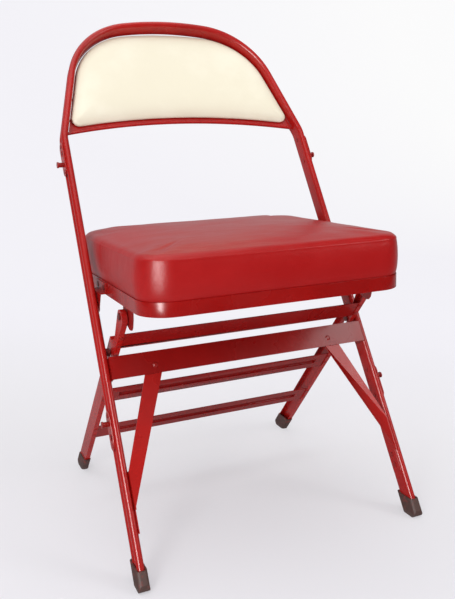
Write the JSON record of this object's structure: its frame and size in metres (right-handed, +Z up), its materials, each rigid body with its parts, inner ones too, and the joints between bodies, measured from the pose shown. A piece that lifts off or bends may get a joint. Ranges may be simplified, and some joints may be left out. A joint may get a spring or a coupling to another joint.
{
  "type": "folding chair",
  "caption": "Padded steel folding chair with an arched double-bead frame, crossing rear legs, a pressed seat pan with a crowned cushion and a dished back with a pad.",
  "frame": {"origin": "middle of the bottom of the box round the open chair, at floor level", "axes": "+X to the sitter's left seen from the front, +Y from the front to the back, +Z up"},
  "size_m": [0.4784, 0.4916, 0.7953],
  "materials": {
    "red_steel": "gloss",
    "seat_vinyl": "satin",
    "back_vinyl": "satin",
    "boots": "matte",
    "pins": "satin"
  },
  "bodies": {
    "frame": {"main_frame": "red_steel", "front_rail": "red_steel", "brace_left": "red_steel", "brace_right": "red_steel", "brace_rivets": "red_steel", "rail_rivets": "red_steel", "back_panel": "red_steel", "panel_rivets": "red_steel", "back_pad": "back_vinyl", "gang_plate_upper_left": "red_steel", "gang_plate_lower_left": "red_steel", "gang_plate_upper_right": "red_steel", "gang_plate_lower_right": "red_steel", "gang_studs": "red_steel", "gang_rivets": "red_steel", "guide_pin_left": "pins", "guide_pin_right": "pins", "front_boot_left": "boots", "front_boot_right": "boots"},
    "seat": {"seat_pan": "red_steel", "seat_cushion": "seat_vinyl", "seat_ear_left": "red_steel", "seat_ear_right": "red_steel", "seat_pivot_left": "pins", "seat_pivot_right": "pins", "leg_bracket_left": "red_steel", "leg_bracket_right": "red_steel", "ear_rivets": "pins", "bracket_rivets": "pins", "leg_pin_left": "pins", "leg_pin_right": "pins"},
    "rear_legs": {"rear_leg_left": "red_steel", "rear_leg_right": "red_steel", "rear_rail_upper": "red_steel", "rear_rail_middle": "red_steel", "rear_rail_lower": "red_steel", "rear_rail_rivets": "red_steel", "rear_boot_left": "boots", "rear_boot_right": "boots"}
  },
  "joints": [
    {"name": "seat_fold", "type": "hinge", "parent": "frame", "child": "seat", "pos_m": [0, -0.02588, 0.35029], "axis": [1, 0, 0], "range_deg": [-119.75, 0]},
    {"name": "rear_leg_fold", "type": "hinge", "parent": "seat", "child": "rear_legs", "pos_m": [0, -0.12233, 0.35398], "axis": [1, 0, 0], "range_deg": [0, 47.68]}
  ],
  "couplings": [
    {"joint": "rear_leg_fold", "follows": "seat_fold", "ratio": -0.39808}
  ]
}
